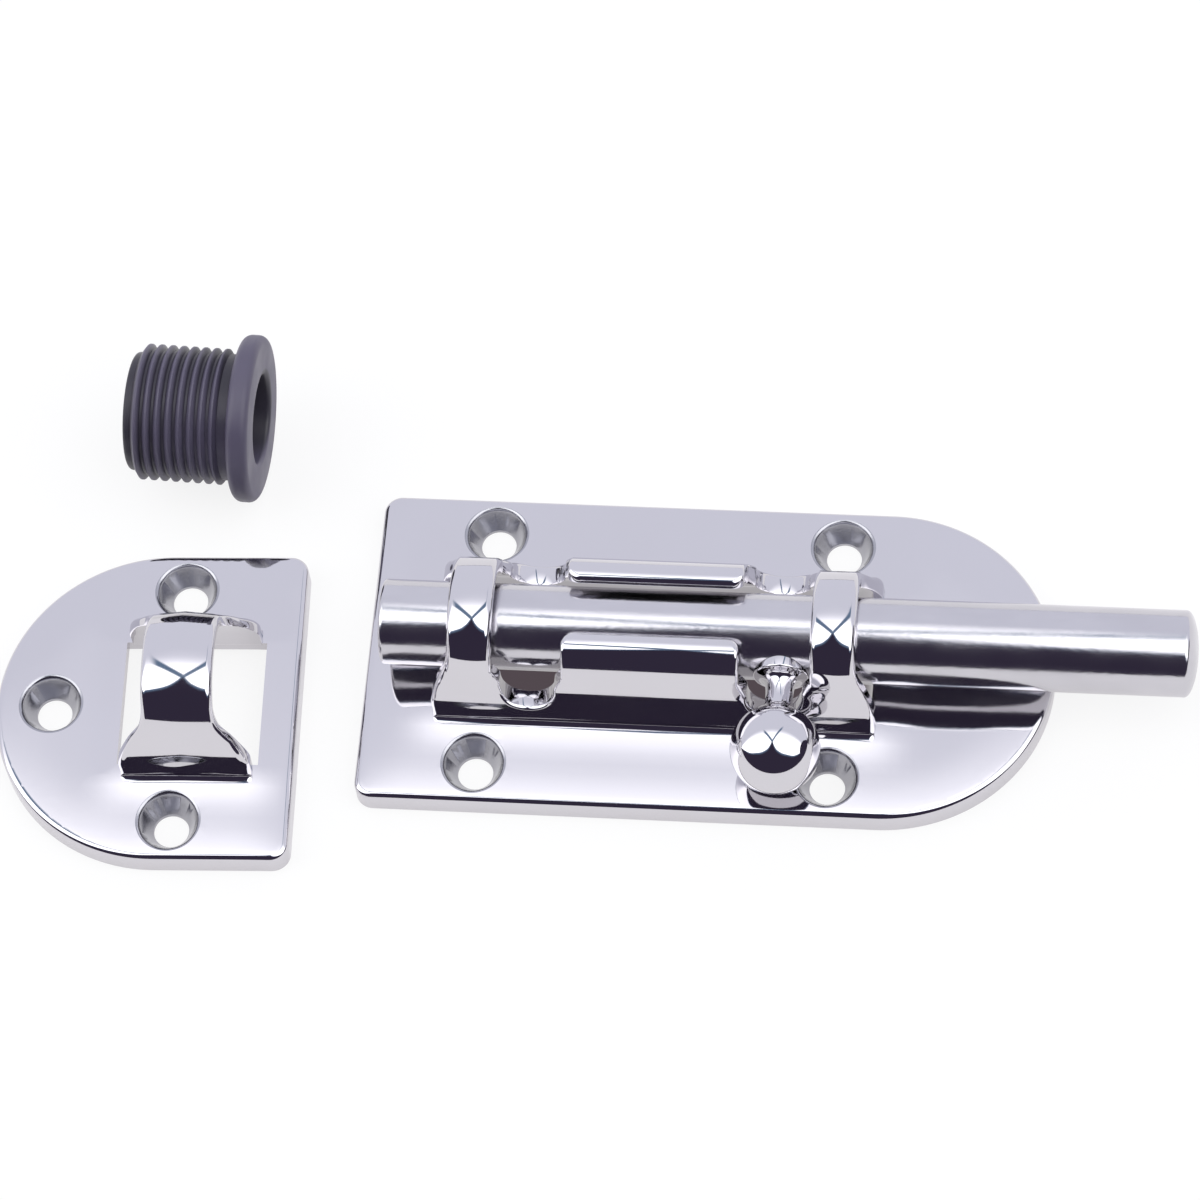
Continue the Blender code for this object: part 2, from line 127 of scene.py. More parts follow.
def put_in_place(piece, matrix):
    """Sets a piece by a matrix and puts that place into its mesh."""
    take_up(piece)
    piece.matrix_world = matrix
    bpy.ops.object.transform_apply(location=True, rotation=True, scale=True)
    return piece


def apply_modifier(piece, modifier):
    take_up(piece)
    bpy.ops.object.modifier_apply(modifier=modifier.name)


def cut_with(piece, tool, operation):
    """One Boolean with a tool, which is thrown away afterwards."""
    modifier = piece.modifiers.new("cut", "BOOLEAN")
    modifier.operation = operation
    modifier.solver = "MANIFOLD"  # the exact solver can leave a screw hole closed
    modifier.object = tool
    apply_modifier(piece, modifier)
    bpy.data.objects.remove(tool)


def join_to(piece, addition):
    """Joins a second mesh into a piece."""
    take_up(piece)
    addition.select_set(True)
    bpy.ops.object.join()


def smooth_by_angle(piece, angle):
    """Smooth faces, with sharp edges kept where two faces turn by more than the angle."""
    take_up(piece)
    bpy.ops.object.shade_smooth_by_angle(angle=math.radians(angle))


def triangles(piece):
    return sum(len(face.vertices) - 2 for face in piece.data.polygons)


def fade(value, start, end):
    """0 before start, 1 after end, and a smooth step between them."""
    share = min(1.0, max(0.0, (value - start) / (end - start)))
    return share * share * (3 - 2 * share)


def arc(centre, radius, start, end, steps):
    """Points along an arc, its angles in degrees, both ends included."""
    angles = [math.radians(start + (end - start) * step / steps) for step in range(steps + 1)]
    return [(centre[0] + radius * math.cos(a), centre[1] + radius * math.sin(a)) for a in angles]


print("helpers ready")

# %% [markdown]
# ## The camera
# The picture was taken from above and a little to the right, through a long lens, with the camera
# rolled by some ten degrees. The camera comes first, so that each piece can be looked at as it is
# made. Its three directions are worked out and written into one matrix.

# %% Set the camera
VIEW_TURN, VIEW_HEIGHT, VIEW_ROLL = (math.radians(v) for v in (13.43, 62.27, -9.66))
VIEW_DISTANCE = 671.23 * MM
VIEW_TARGET = Vector((-0.10, 3.28, 3.2)) * MM
HALF_FRAME, FOCAL_PIXELS = 600, 6050.03
away = Vector((math.sin(VIEW_TURN) * math.cos(VIEW_HEIGHT),
               -math.cos(VIEW_TURN) * math.cos(VIEW_HEIGHT), math.sin(VIEW_HEIGHT)))
level_right = Vector((math.cos(VIEW_TURN), math.sin(VIEW_TURN), 0.0))
level_up = away.cross(level_right)
right = math.cos(VIEW_ROLL) * level_right + math.sin(VIEW_ROLL) * level_up
upward = -math.sin(VIEW_ROLL) * level_right + math.cos(VIEW_ROLL) * level_up
camera_data = bpy.data.cameras.new("studio_camera")
camera_data.sensor_fit = "HORIZONTAL"
camera_data.angle = 2 * math.atan(HALF_FRAME / FOCAL_PIXELS)
camera_data.clip_start = 0.05
camera = bpy.data.objects.new("studio_camera", camera_data)
bpy.context.scene.collection.objects.link(camera)
camera.matrix_world = (Matrix.Translation(VIEW_TARGET + away * VIEW_DISTANCE)
                       @ Matrix((right, upward, away)).transposed().to_4x4())
bpy.context.scene.camera = camera
bpy.context.scene.view_settings.view_transform = "Standard"
print(f"the lens sees {math.degrees(camera_data.angle):.1f} degrees across")

# %% [markdown]
# ## The plates
# Each plate is stamped from sheet: a D-shaped face whose rim is turned down all round.
# It starts as a circle. Half of it is deleted, its ends are pulled out straight, and the two
# corners are rounded. Extruding the face down gives the height, a bevel rounds the rim, and an
# inset pushed up from below leaves the thin sheet. A pressed face is never quite flat: it falls a
# little towards its rim and swells where metal was drawn up, and a mirror finish shows both.


# %% A pressed D-shaped plate
NOSE_POINTS = 192
CORNER_ROUNDING = 2.0 * MM
RIM_ROUNDING = 0.65 * MM
FACE_DROP, FACE_REACH = 0.25 * MM, 6.0 * MM
SWELL_REACH = 5.0 * MM
CORNER_BLEND = 1.2 * MM
RING_STEP = 0.45 * MM
RULED_STEP = 1.25 * MM


def from_outline(x, y, length):
    """How far in from the outline of a D-shaped plate a point lies."""
    nose_x = length - HALF_WIDTH
    to_side = HALF_WIDTH - (math.hypot(x - nose_x, y) if x > nose_x else abs(y))
    blend = math.exp(-to_side / CORNER_BLEND) + math.exp(-x / CORNER_BLEND)
    return -CORNER_BLEND * math.log(blend)


def face_offset(x, y, length, arch_x, arch_half):
    """How far the pressed face lies above or below a true plane."""
    edge_share = min(1.0, max(0.0, from_outline(x, y, length) / FACE_REACH))
    near_arch = min(1.0, max(0.0, 1 - (abs(y) - ARCH_HALF_WIDTH) / SWELL_REACH))
    beside_arch = 1 - fade(abs(x - arch_x), arch_half - 1.0 * MM, arch_half + SWELL_REACH)
    return FACE_RISE * near_arch ** 2 * beside_arch - FACE_DROP * (1 - edge_share) ** 2


def d_plate(name, length):
    """A plate lying on z = 0, its straight end at x = 0 and its round nose towards +x."""
    clear_selection()
    nose_x = length - HALF_WIDTH
    bpy.ops.mesh.primitive_circle_add(vertices=NOSE_POINTS, radius=HALF_WIDTH,
                                      location=(nose_x, 0.0, RIM_HEIGHT))
    plate = bpy.context.object
    plate.name = plate.data.name = name
    bpy.ops.object.transform_apply(location=True)
    bpy.ops.object.mode_set(mode="EDIT")
    pick(plate, "verts", lambda v: v.co.x < nose_x - 0.01 * MM)
    bpy.ops.mesh.delete(type="VERT")
    pick(plate, "verts", lambda v: v.co.x < nose_x + 0.01 * MM)
    bpy.ops.mesh.extrude_vertices_move(TRANSFORM_OT_translate={"value": (-nose_x, 0.0, 0.0)})
    bpy.ops.mesh.edge_face_add()
    bpy.ops.mesh.select_all(action="SELECT")
    bpy.ops.mesh.edge_face_add()
    pick(plate, "verts", lambda v: v.co.x < 0.01 * MM)
    bpy.ops.mesh.bevel(offset=CORNER_ROUNDING, segments=12, affect="VERTICES")
    bpy.ops.mesh.select_all(action="SELECT")
    bpy.ops.mesh.extrude_region_move(TRANSFORM_OT_translate={"value": (0.0, 0.0, -RIM_HEIGHT)})
    bpy.ops.mesh.select_all(action="SELECT")
    bpy.ops.mesh.normals_make_consistent(inside=False)
    pick(plate, "edges", lambda e: all(abs(v.co.z - RIM_HEIGHT) < 0.01 * MM for v in e.verts))
    bpy.ops.mesh.bevel(offset=RIM_ROUNDING, segments=10, profile=0.5)
    pick(plate, "faces", lambda f: f.normal.z > 0.9 and len(f.verts) > 4)
    for ring in range(2):
        bpy.ops.mesh.inset(thickness=RING_STEP)
    pick(plate, "faces", lambda f: f.normal.z < -0.9)
    bpy.ops.mesh.inset(thickness=SHEET)
    bpy.ops.mesh.extrude_region_move(
        TRANSFORM_OT_translate={"value": (0.0, 0.0, RIM_HEIGHT - SHEET)})
    bpy.ops.object.mode_set(mode="OBJECT")
    return plate


def cut_opening(plate, middle, size):
    """A rectangular opening through the face, under the arch that was drawn up from it."""
    clear_selection()
    bpy.ops.mesh.primitive_cube_add(size=1.0, location=(middle, 0.0, RIM_HEIGHT),
                                    scale=(*size, 3 * RIM_HEIGHT))
    cut_with(plate, bpy.context.object, "DIFFERENCE")


def press_face(plate, length, arch_x, arch_half):
    """Rules fine lines over a cut plate and lets its face fall and swell as a pressed one does."""
    take_up(plate)
    bpy.ops.object.mode_set(mode="EDIT")
    for axis, low, high in ((0, 0.0, length), (1, -HALF_WIDTH, HALF_WIDTH)):
        normal = (1.0, 0.0, 0.0) if axis == 0 else (0.0, 1.0, 0.0)
        for step in range(1, math.ceil((high - low) / RULED_STEP)):
            place = [0.0, 0.0, 0.0]
            place[axis] = low + step * RULED_STEP
            bpy.ops.mesh.select_all(action="SELECT")
            bpy.ops.mesh.bisect(plane_co=place, plane_no=normal)
    bpy.ops.object.mode_set(mode="OBJECT")
    for vertex in plate.data.vertices:
        offset = face_offset(vertex.co.x, vertex.co.y, length, arch_x, arch_half)
        vertex.co.z += offset * min(1.0, vertex.co.z / (RIM_HEIGHT - SHEET))


print("a plate is drawn from a circle of", NOSE_POINTS, "points")

# %% [markdown]
# ## Dished screw holes
# A countersunk screw needs a cone to sit in, and thin sheet has to be pushed down to make one.
# A turned plug is added under the face for the dish, and a second turned shape cuts the cone and
# the hole out of it. Both are profiles spun round the Z axis. The top of the cone has a soft lip.


# %% Turned shapes and screw holes
HOLE_POINTS = 64
SCREW_SHANK_RADIUS = 1.95 * MM
SCREW_HEAD_RADIUS = 3.65 * MM
HOLE_EDGE, HOLE_FOOT_EDGE = 0.45 * MM, 0.25 * MM
DISH_WALL_TOP, DISH_WALL_FOOT = 0.55 * MM, 0.9 * MM
SCREWS_ACROSS = 14.15 * MM
PAST = 2.0 * MM


def turned(name, profile, steps):
    """A profile of (radius, height) points spun about the Z axis into a closed shape."""
    piece = traced(name, [(radius, 0.0, height) for radius, height in profile])
    if profile[0][0] > 0.0:
        pick(piece, "verts", lambda v: len(v.link_edges) == 1)
        bpy.ops.mesh.edge_face_add()
    bpy.ops.mesh.select_all(action="SELECT")
    bpy.ops.mesh.spin(steps=steps, angle=math.tau, center=(0.0, 0.0, 0.0), axis=(0.0, 0.0, 1.0))
    bpy.ops.mesh.select_all(action="SELECT")
    bpy.ops.mesh.remove_doubles(threshold=0.002 * MM)
    bpy.ops.mesh.normals_make_consistent(inside=False)
    bpy.ops.object.mode_set(mode="OBJECT")
    return piece


def add_screw_holes(plate, places):
    """A dish under the face and a countersunk hole through it, at each place."""
    top = RIM_HEIGHT - SHEET / 2
    for x, y in places:
        dish = turned("dish", [(0.0, top), (SCREW_HEAD_RADIUS + DISH_WALL_TOP, top),
                               (SCREW_SHANK_RADIUS + DISH_WALL_FOOT, 0.0), (0.0, 0.0)], HOLE_POINTS)
        cut_with(plate, put_in_place(dish, Matrix.Translation((x, y, 0.0))), "UNION")
        lip = arc((SCREW_HEAD_RADIUS, RIM_HEIGHT - HOLE_EDGE), HOLE_EDGE, 92, 180, 8)
        foot = arc((SCREW_SHANK_RADIUS + HOLE_FOOT_EDGE, 0.3 * MM), HOLE_FOOT_EDGE, 140, 180, 3)
        profile = [(0.0, RIM_HEIGHT + PAST), (lip[0][0], RIM_HEIGHT + PAST)] + lip + foot
        profile += [(SCREW_SHANK_RADIUS, -PAST), (0.0, -PAST)]
        hole = turned("hole", profile, HOLE_POINTS)
        cut_with(plate, put_in_place(hole, Matrix.Translation((x, y, 0.0))), "DIFFERENCE")


print(f"a screw hole opens to {2 * SCREW_HEAD_RADIUS / MM:.1f} mm at the face")

# %% [markdown]
# ## Arches drawn out of the sheet
# The housing and the keeper's bridge are both bent over a former that is taller than it is wide
# and a little fuller at its shoulders than an ellipse. They are made the same way here: a flat
# blank is cut to shape, its edges are rolled over, narrow strips are marked across it, and every
# point is laid on the former. The flat length is the former's own length, so each height on the
# real arch has its line on the blank. A small round fills the corner where arch and plate meet.


# %% The former
FORMER_POINTS = 2000
FORMER_FULLNESS = 2.6
FOOT_SINK = 0.5 * MM
ROOT_ROUND = 0.55 * MM
CROWN_DROP = 0.42 * MM
CROWN_FADE_LOW, CROWN_FADE_HIGH = 6.3 * MM, 9.3 * MM
LEVEL_CUT_LOW, LEVEL_CUT_HIGH = 8.5 * MM, 12.0 * MM
FLAP_HALF_GAP = 4.1 * MM
FLAP_TURN_REACH, FLAP_TURN_RADIUS = 2.3 * MM, 2.9 * MM


def on_former(angle, half_width, rise):
    """A point of the former's curve, as its distance from the middle and its height."""
    return Vector((half_width * max(0.0, math.cos(angle)) ** (2 / FORMER_FULLNESS),
                   rise * math.sin(angle)))


former = [(0.0, 0.0)]
for step in range(1, FORMER_POINTS + 1):
    angle = math.pi / 2 * step / FORMER_POINTS
    stride = (on_former(angle, ARCH_HALF_WIDTH, ARCH_RISE)
              - on_former(former[-1][0], ARCH_HALF_WIDTH, ARCH_RISE))
    former.append((angle, former[-1][1] + stride.length))
HALF_BLANK = former[-1][1]


def flat_line(height):
    """How far from the crown, on the flat blank, the line of a height on the arch lies."""
    angle = math.asin(min(1.0, (height - ARCH_FOOT) / ARCH_RISE))
    return HALF_BLANK - former[round(angle / (math.pi / 2) * FORMER_POINTS)][1]


def former_angle(from_foot):
    """The angle on the former at a length up from its foot."""
    low, high = 0, FORMER_POINTS
    while high - low > 1:
        middle = (low + high) // 2
        if former[middle][1] > from_foot:
            high = middle
        else:
            low = middle
    share = (from_foot - former[low][1]) / (former[high][1] - former[low][1])
    return former[low][0] + share * (former[high][0] - former[low][0])


def crowned(x, height, strap_centre, strap_half, from_x):
    """How far a strap's face falls away from its middle line. It fades out above the foot."""
    if abs(x) < from_x:
        return 0.0
    off_centre = min(1.0, abs((abs(x) - strap_centre) / strap_half))
    return CROWN_DROP * off_centre ** 2 * fade(height, CROWN_FADE_LOW, CROWN_FADE_HIGH)


def flap_fall(line):
    """How far the top of a flap curves in towards the bolt."""
    return max(0.0, FLAP_TURN_REACH - (line - FLAP_LINE)) ** 2 / (2 * FLAP_TURN_RADIUS)


def laid_on_former(point, wall, strap_centre, strap_half, from_x):
    """A point of the blank, its top face at z = 0 and its underside at z = -1, laid on the arch."""
    side = -1.0 if point.y < 0 else 1.0
    from_foot = HALF_BLANK - abs(point.y)
    angle = former_angle(max(from_foot, 0.0))
    outer = on_former(angle, ARCH_HALF_WIDTH, ARCH_RISE)
    height = ARCH_FOOT + outer.y
    level = math.asin(min(1.0, outer.y / (ARCH_RISE - SHEET)))
    inner_angle = level + (angle - level) * fade(height, LEVEL_CUT_LOW, LEVEL_CUT_HIGH)
    inner = on_former(inner_angle, ARCH_HALF_WIDTH - wall, ARCH_RISE - SHEET)
    crown = crowned(point.x, height, strap_centre, strap_half, from_x)
    if abs(point.x) < from_x:
        crown += flap_fall(abs(point.y))
    place = outer.lerp(inner, -point.z + crown * (1 + point.z) / SHEET)
    root = max(0.0, ROOT_ROUND - outer.y)
    place.x += (1 + point.z) * (ROOT_ROUND - math.sqrt(ROOT_ROUND ** 2 - root ** 2))
    place.y += min(from_foot, 0.0)
    return Vector((point.x, side * place.x, ARCH_FOOT + place.y))


FLAP_SHARE = (FLAP_HALF_GAP / ARCH_HALF_WIDTH) ** FORMER_FULLNESS
FLAP_LINE = flat_line(ARCH_FOOT + ARCH_RISE * math.sqrt(1 - FLAP_SHARE))
print(f"the flat blank is {2 * HALF_BLANK / MM:.2f} mm from foot to foot")

# %% [markdown]
# ## The blank
# Half of an arch is the mirror of the other half, front to back as well as left to right, so only
# a quarter of the blank is drawn. A Mirror modifier makes the rest, and then the blank gets its
# thickness. Its upper edges are rolled by a Bevel modifier that reads a weight on each edge, since
# the press rolls some edges far more than others.


# %% Cut, roll, mark and bend a blank
STRIPS = 140
FULL_ROLL = 0.6 * MM
FLAP_ROLL = 0.38 * MM
NOTCH_ROLL = 0.3 * MM
UNDERSIDE_EDGE = 0.2 * MM
STRAIGHT_STEPS = 10
END_STEPS = 28
SWEEP_START, SWEEP_END = ARCH_FOOT + 0.8 * MM, ARCH_TOP - 2.0 * MM
ROOT_LINES = (0.0, 0.03, 0.1, 0.2, 0.33, 0.5, 0.7, 0.9)


def end_line(height, foot, crown):
    """Half the length of an arch at a height: a wide foot that sweeps up to a narrow crown."""
    share = min(1.0, max(0.0, (height - SWEEP_START) / (SWEEP_END - SWEEP_START)))
    swept = crown / 2 + (foot / 2 + 0.2 * MM - crown / 2) * (1 + math.cos(math.pi * share)) / 2
    return min(foot / 2, swept)


def end_points(foot, crown):
    """The lower edge of the quarter blank and its end edge, up to the crown line."""
    points = [(0.0, -(HALF_BLANK + FOOT_SINK)), (foot / 2, -(HALF_BLANK + FOOT_SINK))]
    for step in range(END_STEPS + 1):
        height = ARCH_FOOT + (ARCH_TOP - 0.6 * MM - ARCH_FOOT) * step / END_STEPS
        points.append((end_line(height, foot, crown), -flat_line(height)))
    return points + [(crown / 2, 0.0)]


def bent_arch(name, quarter, roll, wall, strap_centre, strap_half, from_x):
    """A quarter outline made into the whole arch, standing on the plate and centred on x = 0."""
    piece = traced(name, [(x, y, 0.0) for x, y in quarter])
    bpy.ops.mesh.select_all(action="SELECT")
    bpy.ops.mesh.edge_face_add()
    bpy.ops.object.mode_set(mode="OBJECT")
    mirror = piece.modifiers.new("mirror", "MIRROR")
    mirror.use_axis = (True, True, False)
    mirror.merge_threshold = 0.005 * MM
    apply_modifier(piece, mirror)
    bpy.ops.object.mode_set(mode="EDIT")
    bpy.ops.mesh.select_all(action="SELECT")
    bpy.ops.mesh.normals_make_consistent(inside=False)
    bpy.ops.mesh.extrude_region_move(TRANSFORM_OT_translate={"value": (0.0, 0.0, -SHEET)})
    bpy.ops.mesh.select_all(action="SELECT")
    bpy.ops.mesh.normals_make_consistent(inside=False)
    pick(piece, "edges", lambda e: rim_edge(e, -SHEET))
    bpy.ops.mesh.bevel(offset=UNDERSIDE_EDGE, segments=2, profile=0.5, clamp_overlap=True)
    weigh_edges(piece, roll)
    bpy.ops.object.mode_set(mode="OBJECT")
    bevel = piece.modifiers.new("rolled", "BEVEL")
    bevel.limit_method = "WEIGHT"
    bevel.width = FULL_ROLL
    bevel.segments = 8
    apply_modifier(piece, bevel)
    bpy.ops.object.mode_set(mode="EDIT")
    whole = HALF_BLANK + FOOT_SINK
    lines = [whole * (2 * strip / STRIPS - 1) for strip in range(1, STRIPS)]
    for share in ROOT_LINES:
        lines += [HALF_BLANK - share * ROOT_ROUND, share * ROOT_ROUND - HALF_BLANK]
    for line in lines:
        bpy.ops.mesh.select_all(action="SELECT")
        bpy.ops.mesh.bisect(plane_co=(0.0, line, 0.0), plane_no=(0.0, 1.0, 0.0))
    bpy.ops.object.mode_set(mode="OBJECT")
    for vertex in piece.data.vertices:
        flat = Vector((vertex.co.x, vertex.co.y, vertex.co.z / SHEET))
        vertex.co = laid_on_former(flat, wall, strap_centre, strap_half, from_x)
    return piece


def weigh_edges(piece, roll):
    """Gives each edge of the upper outline its share of a full roll."""
    bm = bmesh.from_edit_mesh(piece.data)
    weight = bm.edges.layers.float.new("bevel_weight_edge")
    for edge in bm.edges:
        middle = (edge.verts[0].co + edge.verts[1].co) / 2
        if rim_edge(edge, 0.0) and abs(middle.y) < HALF_BLANK + FOOT_SINK - 0.01 * MM:
            edge[weight] = roll(abs(middle.x), abs(middle.y)) / FULL_ROLL
    bmesh.update_edit_mesh(piece.data)


def rim_edge(edge, height):
    """An edge on the outline of the blank's upper or lower face."""
    level = all(abs(v.co.z - height) < 0.001 * MM for v in edge.verts)
    return level and len(edge.link_faces) == 2 and edge.calc_face_angle() > 1.0


print("blanks are cut in quarters")

# %% [markdown]
# ## The bolt plate
# The plate and its housing are one pressing. The opening under the housing is where its metal
# came from. The housing has two notches on each side, and a guard flap between them stops the
# knob from dropping in half-way. The four screw holes are dished last.

# %% Make the bolt plate
PLATE_LENGTH = 76.0 * MM
HOUSING_OPENING = (47.6 * MM, 13.4 * MM)
SCREWS_ALONG = 19.4 * MM
HOUSING_WALL = 2.4 * MM
HOUSING_FOOT, HOUSING_CROWN = 48.8 * MM, 44.6 * MM
STRAP_WIDTH = 4.9 * MM
NOTCH_MOUTH = 7.7 * MM
NOTCH_CENTRE = HOUSING_CROWN / 2 - STRAP_WIDTH - NOTCH_MOUTH / 2
NOTCH_RADIUS = 3.0 * MM
NOTCH_HEIGHT = AXIS_HEIGHT + 0.6 * MM
NOTCH_FLARE = AXIS_HEIGHT + 2.7 * MM
FLAP_CORNER = 1.4 * MM


def straight(x, near_crown, near_foot):
    """Points down one straight side of a notch, close enough for its roll to taper."""
    drop = (near_foot - near_crown) / STRAIGHT_STEPS
    return [(x, -(near_crown + drop * step)) for step in range(STRAIGHT_STEPS + 1)]


def housing_roll(x, line):
    """How far an edge is rolled: most on the straps, less on the flap, least in the notches."""
    if x > HOUSING_CROWN / 2 - 0.2 * MM:
        return FULL_ROLL
    top = FULL_ROLL if x > NOTCH_CENTRE else FLAP_ROLL
    share = fade(line, FLAP_LINE + FLAP_CORNER, flat_line(NOTCH_FLARE) - 0.4 * MM)
    return top + (NOTCH_ROLL - top) * share


def housing_quarter():
    """The quarter blank of the housing, from the middle of its foot round to its flap."""
    points = end_points(HOUSING_FOOT, HOUSING_CROWN)
    inner = HOUSING_CROWN / 2 - STRAP_WIDTH
    points += [(inner, 0.0)] + straight(inner, FLAP_LINE, flat_line(NOTCH_FLARE))
    for x, height in arc((NOTCH_CENTRE, NOTCH_HEIGHT), NOTCH_RADIUS, 5, -185, 40):
        points.append((x, -flat_line(height)))
    flap_end = NOTCH_CENTRE - NOTCH_MOUTH / 2
    points += straight(flap_end, FLAP_LINE + FLAP_CORNER, flat_line(NOTCH_FLARE))[::-1]
    points += arc((flap_end - FLAP_CORNER, -FLAP_LINE - FLAP_CORNER), FLAP_CORNER, 0, 90, 12)[1:]
    return points + [(0.0, -FLAP_LINE)]


bolt_plate = d_plate("bolt_plate", PLATE_LENGTH)
cut_opening(bolt_plate, HOUSING_MIDDLE, HOUSING_OPENING)
bolt_screws = [(HOUSING_MIDDLE + along * SCREWS_ALONG, across * SCREWS_ACROSS)
               for along in (-1, 1) for across in (-1, 1)]
add_screw_holes(bolt_plate, bolt_screws)
press_face(bolt_plate, PLATE_LENGTH, HOUSING_MIDDLE, HOUSING_FOOT / 2)
housing = bent_arch("housing", housing_quarter(), housing_roll, HOUSING_WALL,
                    HOUSING_CROWN / 2 - STRAP_WIDTH / 2, STRAP_WIDTH / 2, NOTCH_CENTRE)
put_in_place(housing, Matrix.Translation((HOUSING_MIDDLE, 0.0, 0.0)))
join_to(bolt_plate, housing)
bolt_plate_place = Matrix.Translation((plate_low.x, ROD_Y, 0.0))
put_in_place(bolt_plate, bolt_plate_place)
smooth_by_angle(bolt_plate, SHARP_ANGLE)
print("bolt plate:", triangles(bolt_plate), "triangles")

# %% [markdown]
# ## The keeper
# The keeper is a short plate of the same shape with one narrow bridge, which takes the bolt's tip.
# It lies turned round, with its nose away from the bolt.

# %% Make the keeper
KEEPER_LENGTH = 33.8 * MM
BRIDGE_CENTRE = 11.75 * MM
BRIDGE_FOOT, BRIDGE_CROWN = 14.6 * MM, 7.8 * MM
BRIDGE_OPENING = (15.7 * MM, 15.0 * MM)
KEEPER_ROW = 13.4 * MM
NOSE_SCREW = 14.2 * MM
KEEPER_TURN = math.pi + math.radians(2.3)
KEEPER_PLACE = Vector((plate_low.x - 20.5 * MM, ROD_Y - 8.6 * MM, 0.0))
keeper = d_plate("keeper", KEEPER_LENGTH)
cut_opening(keeper, BRIDGE_CENTRE, BRIDGE_OPENING)
keeper_screws = [(KEEPER_ROW, -SCREWS_ACROSS), (KEEPER_ROW, SCREWS_ACROSS),
                 (KEEPER_ROW + NOSE_SCREW, 0.0)]
add_screw_holes(keeper, keeper_screws)
press_face(keeper, KEEPER_LENGTH, BRIDGE_CENTRE, BRIDGE_FOOT / 2)
bridge_quarter = end_points(BRIDGE_FOOT, BRIDGE_CROWN) + [(0.0, 0.0)]
bridge = bent_arch("bridge", bridge_quarter, lambda x, line: FULL_ROLL, SHEET,
                   0.0, BRIDGE_CROWN / 2, 0.0)
put_in_place(bridge, Matrix.Translation((BRIDGE_CENTRE, 0.0, 0.0)))
join_to(keeper, bridge)
keeper_place = (Matrix.Translation(KEEPER_PLACE) @ Matrix.Rotation(KEEPER_TURN, 4, "Z")
                @ Matrix.Translation((-KEEPER_ROW, 0.0, 0.0)))
put_in_place(keeper, keeper_place)
smooth_by_angle(keeper, SHARP_ANGLE)
print("keeper:", triangles(keeper), "triangles")

# %% [markdown]
# ## The bolt and its knob
# Both are turned on a lathe, so both are spun. The bolt's tip is slightly domed. The knob is a
# ball that flows into a short neck. The neck widens to a collar, and the collar is hollowed to sit
# on the bolt. The ball stands just far enough out to clear the rim of the notch.

# %% Turn the bolt and the knob
BOLT_RADIUS = 4.75 * MM
BOLT_LENGTH = 89.4 * MM
TIP_DOME = 1.4 * MM
TIP_STEPS = 16
BALL_RADIUS = 4.95 * MM
BALL_REACH = 13.55 * MM
BALL_STEPS = 48
BALL_JOIN = math.radians(-66)
NECK_RADIUS = 1.5 * MM
WAIST_REACH = 7.45 * MM
COLLAR_EDGE = 0.25 * MM
COLLAR_GAP = 0.08 * MM
COLLAR_RADIUS = 3.05 * MM
TURNED_POINTS = 128


def bolt_profile():
    """From the middle of the domed tip, along the bolt, to the rounded edge of its flat end."""
    points = []
    for step in range(TIP_STEPS + 1):
        angle = math.pi / 2 * step / TIP_STEPS
        points.append((BOLT_RADIUS * math.sin(angle),
                       BOLT_LENGTH - TIP_DOME * (1 - math.cos(angle))))
    points += arc((BOLT_RADIUS - 0.5 * MM, 0.5 * MM), 0.5 * MM, 0, -90, 6)
    return points + [(0.0, 0.0)]


def swept_curve(start, start_pull, end_pull, end, steps):
    """Points on a curve that leaves its start towards one pull and comes to its end from the other."""
    points = []
    for step in range(1, steps + 1):
        t = step / steps
        weights = ((1 - t) ** 3, 3 * (1 - t) ** 2 * t, 3 * (1 - t) * t * t, t ** 3)
        points.append(tuple(sum(w * point[axis] for w, point in
                                zip(weights, (start, start_pull, end_pull, end))) for axis in (0, 1)))
    return points


def knob_outline():
    """From the ball's outer end, down its side and neck, to the collar that sits on the bolt."""
    points = []
    for step in range(BALL_STEPS + 1):
        angle = math.pi / 2 + (BALL_JOIN - math.pi / 2) * step / BALL_STEPS
        points.append((max(0.0, BALL_RADIUS * math.cos(angle)),
                       BALL_REACH + BALL_RADIUS * math.sin(angle)))
    join = points[-1]
    leave = Vector(join) + Vector((math.sin(BALL_JOIN), -math.cos(BALL_JOIN))) * 0.5 * MM
    points += swept_curve(join, leave, (NECK_RADIUS, WAIST_REACH + 0.5 * MM),
                          (NECK_RADIUS, WAIST_REACH), 14)
    collar_top = BOLT_RADIUS + 0.25 * MM
    points += swept_curve(points[-1], (NECK_RADIUS, WAIST_REACH - 1.3 * MM),
                          (NECK_RADIUS + 0.15 * MM, collar_top),
                          (COLLAR_RADIUS - COLLAR_EDGE, collar_top), 18)
    points += arc((COLLAR_RADIUS - COLLAR_EDGE, collar_top - COLLAR_EDGE), COLLAR_EDGE, 75, 0, 5)
    return points + [(COLLAR_RADIUS, BOLT_RADIUS / 2), (0.0, BOLT_RADIUS / 2)]


